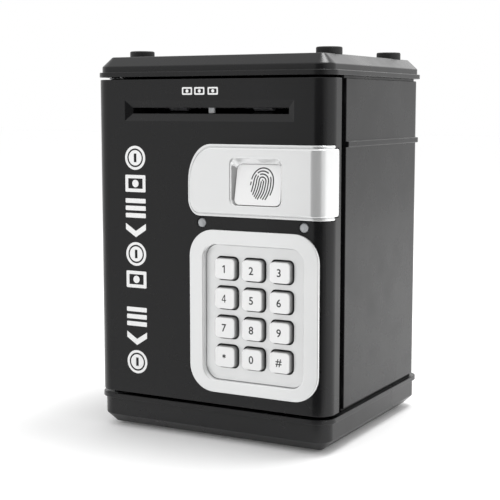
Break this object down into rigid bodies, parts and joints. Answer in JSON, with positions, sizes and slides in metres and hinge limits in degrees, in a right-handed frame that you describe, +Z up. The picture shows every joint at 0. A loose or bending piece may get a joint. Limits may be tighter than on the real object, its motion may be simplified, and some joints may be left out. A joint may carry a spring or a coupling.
{
  "type": "toy savings bank",
  "caption": "Upright box-shaped savings bank with a hinged front door that carries a note slot, a keypad, a finger pad and a wrap-round handle band.",
  "frame": {"origin": "on the floor under the middle of the whole object's box, closed", "axes": "+Z up, -Y out of the door towards the user, +X to the user's right"},
  "size_m": [0.1298, 0.1208, 0.1895],
  "materials": {
    "black_case": "fine satin moulded black plastic",
    "black_inner": "matte black plastic with a fine texture",
    "stud_rubber": "matte black rubber",
    "silver_paint": "pale silver painted plastic, satin",
    "white_keys": "off-white moulded plastic, satin",
    "led_clear": "clear frosted lens, unlit",
    "mat_rubber": "grey silicone rubber",
    "roller_rubber": "dark grippy rubber",
    "board_green": "green solder mask",
    "pale_nylon": "pale grey nylon",
    "bright_steel": "bright zinc plated steel",
    "zinc_can": "dull plated steel can",
    "pinion_brass": "turned brass",
    "cell_sleeve": "glossy plastic sleeve, plain",
    "speaker_frame": "black frame and paper cone"
  },
  "bodies": {
    "case": {"casing_shell": "black_case", "top_cap": "black_case", "base_cap": "black_case", "top_stud_front_left": "stud_rubber", "top_stud_front_right": "stud_rubber", "top_stud_rear_left": "stud_rubber", "top_stud_rear_right": "stud_rubber", "foot_front_left": "stud_rubber", "foot_front_right": "stud_rubber", "foot_rear_left": "stud_rubber", "foot_rear_right": "stud_rubber", "hinge_pin_upper": "bright_steel", "hinge_pin_lower": "bright_steel", "strike_plate": "bright_steel"},
    "door": {"door_front_shell": "black_case", "door_back_cover": "black_inner", "handle_band": "silver_paint", "led_lens_left": "led_clear", "led_lens_right": "led_clear", "keypad_bezel": "silver_paint", "keypad_mat": "mat_rubber", "circuit_board": "board_green", "cover_screw_1": "bright_steel", "cover_screw_2": "bright_steel", "cover_screw_3": "bright_steel", "cover_screw_4": "bright_steel", "battery_cell_1": "cell_sleeve", "battery_cell_2": "cell_sleeve", "battery_cell_3": "cell_sleeve", "battery_contact_left": "bright_steel", "battery_contact_right": "bright_steel", "speaker": "speaker_frame", "feeder_frame": "pale_nylon", "feed_motor": "zinc_can", "lock_solenoid": "zinc_can", "lock_spring": "bright_steel"},
    "key_1": {"key_1": "white_keys"},
    "key_2": {"key_2": "white_keys"},
    "key_3": {"key_3": "white_keys"},
    "key_4": {"key_4": "white_keys"},
    "key_5": {"key_5": "white_keys"},
    "key_6": {"key_6": "white_keys"},
    "key_7": {"key_7": "white_keys"},
    "key_8": {"key_8": "white_keys"},
    "key_9": {"key_9": "white_keys"},
    "key_star": {"key_star": "white_keys"},
    "key_0": {"key_0": "white_keys"},
    "key_hash": {"key_hash": "white_keys"},
    "fingerprint_pad": {"fingerprint_pad": "white_keys"},
    "feed_roller": {"feed_shaft": "bright_steel", "feed_roller_left": "roller_rubber", "feed_roller_right": "roller_rubber", "feed_gear": "pale_nylon"},
    "motor_pinion": {"motor_pinion": "pinion_brass"},
    "pinch_roller": {"pinch_roller": "mat_rubber"},
    "note_lever": {"note_lever": "pale_nylon"},
    "lock_bolt": {"lock_bolt": "bright_steel"},
    "battery_cover": {"battery_cover": "black_inner"}
  },
  "joints": [
    {"name": "door_hinge", "type": "hinge", "parent": "case", "child": "door", "pos_m": [-0.056, -0.051, 0.0968], "axis": [0, 0, -1], "range_deg": [0, 110]},
    {"name": "key_1_press", "type": "slide", "parent": "door", "child": "key_1", "axis": [0, 1, 0], "range_m": [0, 0.0012], "stiffness_N_per_m": 400},
    {"name": "key_2_press", "type": "slide", "parent": "door", "child": "key_2", "axis": [0, 1, 0], "range_m": [0, 0.0012], "stiffness_N_per_m": 400},
    {"name": "key_3_press", "type": "slide", "parent": "door", "child": "key_3", "axis": [0, 1, 0], "range_m": [0, 0.0012], "stiffness_N_per_m": 400},
    {"name": "key_4_press", "type": "slide", "parent": "door", "child": "key_4", "axis": [0, 1, 0], "range_m": [0, 0.0012], "stiffness_N_per_m": 400},
    {"name": "key_5_press", "type": "slide", "parent": "door", "child": "key_5", "axis": [0, 1, 0], "range_m": [0, 0.0012], "stiffness_N_per_m": 400},
    {"name": "key_6_press", "type": "slide", "parent": "door", "child": "key_6", "axis": [0, 1, 0], "range_m": [0, 0.0012], "stiffness_N_per_m": 400},
    {"name": "key_7_press", "type": "slide", "parent": "door", "child": "key_7", "axis": [0, 1, 0], "range_m": [0, 0.0012], "stiffness_N_per_m": 400},
    {"name": "key_8_press", "type": "slide", "parent": "door", "child": "key_8", "axis": [0, 1, 0], "range_m": [0, 0.0012], "stiffness_N_per_m": 400},
    {"name": "key_9_press", "type": "slide", "parent": "door", "child": "key_9", "axis": [0, 1, 0], "range_m": [0, 0.0012], "stiffness_N_per_m": 400},
    {"name": "key_star_press", "type": "slide", "parent": "door", "child": "key_star", "axis": [0, 1, 0], "range_m": [0, 0.0012], "stiffness_N_per_m": 400},
    {"name": "key_0_press", "type": "slide", "parent": "door", "child": "key_0", "axis": [0, 1, 0], "range_m": [0, 0.0012], "stiffness_N_per_m": 400},
    {"name": "key_hash_press", "type": "slide", "parent": "door", "child": "key_hash", "axis": [0, 1, 0], "range_m": [0, 0.0012], "stiffness_N_per_m": 400},
    {"name": "fingerprint_pad_press", "type": "slide", "parent": "door", "child": "fingerprint_pad", "axis": [0, 1, 0], "range_m": [0, 0.0008], "stiffness_N_per_m": 500},
    {"name": "feed_roller_turn", "type": "hinge", "parent": "door", "child": "feed_roller", "pos_m": [0, -0.043, 0.1543], "axis": [1, 0, 0], "continuous": true},
    {"name": "motor_pinion_turn", "type": "hinge", "parent": "door", "child": "motor_pinion", "pos_m": [0.047, -0.038, 0.1408], "axis": [1, 0, 0], "continuous": true},
    {"name": "pinch_roller_turn", "type": "hinge", "parent": "door", "child": "pinch_roller", "pos_m": [0, -0.043, 0.1621], "axis": [1, 0, 0], "continuous": true},
    {"name": "note_lever_swing", "type": "hinge", "parent": "door", "child": "note_lever", "pos_m": [0.0006, -0.0532, 0.164], "axis": [1, 0, 0], "range_deg": [0, 40], "stiffness_Nm_per_rad": 0.0005},
    {"name": "lock_bolt_slide", "type": "slide", "parent": "door", "child": "lock_bolt", "axis": [1, 0, 0], "range_m": [0, 0.0065]},
    {"name": "battery_cover_pull", "type": "slide", "parent": "door", "child": "battery_cover", "axis": [0, 1, 0], "range_m": [0, 0.018]}
  ],
  "couplings": [
    {"joint": "motor_pinion_turn", "follows": "feed_roller_turn", "ratio": -3},
    {"joint": "pinch_roller_turn", "follows": "feed_roller_turn", "ratio": -2}
  ]
}
